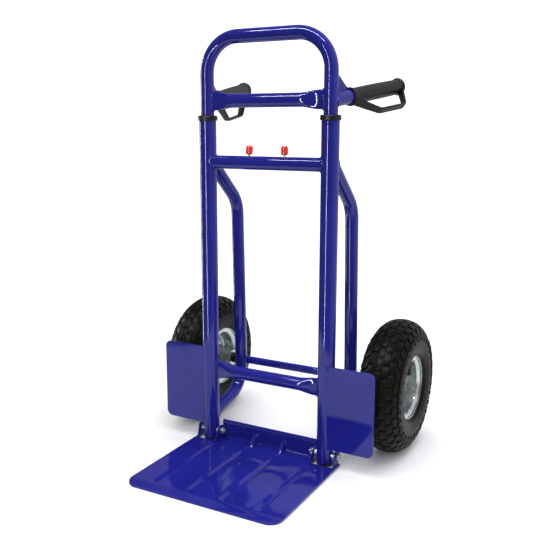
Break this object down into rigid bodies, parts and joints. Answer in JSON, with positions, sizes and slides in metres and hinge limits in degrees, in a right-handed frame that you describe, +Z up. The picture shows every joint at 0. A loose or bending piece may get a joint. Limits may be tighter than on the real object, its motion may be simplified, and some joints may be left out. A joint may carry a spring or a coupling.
{
  "type": "hand truck",
  "caption": "Two-wheeled steel sack truck with a folding toe plate, a telescoping U handle, side grips with guards, sprung latches and air-filled wheels.",
  "frame": {"origin": "on the floor, under the middle of the truck seen from above", "axes": "+Z up along the main tubes, +Y to the rear towards the wheels, -Y to the front where the toe plate reaches out, +X to the right seen from the front"},
  "size_m": [0.513, 0.5131, 0.7978],
  "materials": {
    "blue_enamel": "gloss baked enamel on steel tube and sheet",
    "black_plastic": "moulded nylon",
    "grip_plastic": "moulded, fine grain",
    "red_plastic": "moulded, glossy",
    "zinc_steel": "bright zinc plating on pressed and turned steel",
    "spring_steel": "oiled spring wire",
    "tyre_rubber": "vulcanised rubber with a block tread",
    "soft_rubber": "moulded rubber"
  },
  "bodies": {
    "frame": {"axle": "blue_enamel", "axle_split_pins": "zinc_steel", "axle_washers": "zinc_steel", "left_axle_spacer": "black_plastic", "left_hinge_bolt": "zinc_steel", "left_hinge_nut": "zinc_steel", "left_hinge_spacers": "black_plastic", "left_latch_spring": "spring_steel", "left_main_tube": "blue_enamel", "left_pin_guide": "black_plastic", "left_rear_leg": "blue_enamel", "left_tube_collar": "black_plastic", "left_wheel_guard": "blue_enamel", "lower_crossbar": "blue_enamel", "right_axle_spacer": "black_plastic", "right_hinge_bolt": "zinc_steel", "right_hinge_nut": "zinc_steel", "right_hinge_spacers": "black_plastic", "right_latch_spring": "spring_steel", "right_main_tube": "blue_enamel", "right_pin_guide": "black_plastic", "right_rear_leg": "blue_enamel", "right_tube_collar": "black_plastic", "right_wheel_guard": "blue_enamel", "spring_stop": "black_plastic", "upper_cross_tube": "blue_enamel"},
    "handle": {"handle_crossbar": "blue_enamel", "handle_tube": "blue_enamel", "left_glide_bush": "black_plastic", "left_grip_stub": "blue_enamel", "left_hand_grip": "grip_plastic", "left_stub_gusset": "blue_enamel", "right_glide_bush": "black_plastic", "right_grip_stub": "blue_enamel", "right_hand_grip": "grip_plastic", "right_stub_gusset": "blue_enamel"},
    "left_latch": {"left_lock_pin": "zinc_steel", "left_release_knob": "red_plastic"},
    "right_latch": {"right_lock_pin": "zinc_steel", "right_release_knob": "red_plastic"},
    "toe_plate": {"toe_plate": "blue_enamel"},
    "left_wheel": {"left_hub": "zinc_steel", "left_hub_bearings": "zinc_steel", "left_inner_rim": "zinc_steel", "left_inner_tube": "soft_rubber", "left_outer_rim": "zinc_steel", "left_rim_bolts": "zinc_steel", "left_tyre": "tyre_rubber", "left_valve": "soft_rubber"},
    "right_wheel": {"right_hub": "zinc_steel", "right_hub_bearings": "zinc_steel", "right_inner_rim": "zinc_steel", "right_inner_tube": "soft_rubber", "right_outer_rim": "zinc_steel", "right_rim_bolts": "zinc_steel", "right_tyre": "tyre_rubber", "right_valve": "soft_rubber"}
  },
  "joints": [
    {"name": "handle_slide", "type": "slide", "parent": "frame", "child": "handle", "axis": [0, 0, 1], "range_m": [0, 0.33]},
    {"name": "left_latch_slide", "type": "slide", "parent": "frame", "child": "left_latch", "axis": [1, 0, 0], "range_m": [-0.006, 0.01], "stiffness_N_per_m": 300, "springref_m": -0.016, "deforming": ["left_latch_spring"]},
    {"name": "right_latch_slide", "type": "slide", "parent": "frame", "child": "right_latch", "axis": [-1, 0, 0], "range_m": [-0.006, 0.01], "stiffness_N_per_m": 300, "springref_m": -0.016, "deforming": ["right_latch_spring"]},
    {"name": "toe_plate_fold", "type": "hinge", "parent": "frame", "child": "toe_plate", "pos_m": [0, -0.0115, 0.0218], "axis": [-1, 0, 0], "range_deg": [0, 90]},
    {"name": "left_wheel_spin", "type": "hinge", "parent": "frame", "child": "left_wheel", "pos_m": [-0.2152, 0.1265, 0.13], "axis": [1, 0, 0], "continuous": true},
    {"name": "right_wheel_spin", "type": "hinge", "parent": "frame", "child": "right_wheel", "pos_m": [0.2152, 0.1265, 0.13], "axis": [1, 0, 0], "continuous": true}
  ]
}
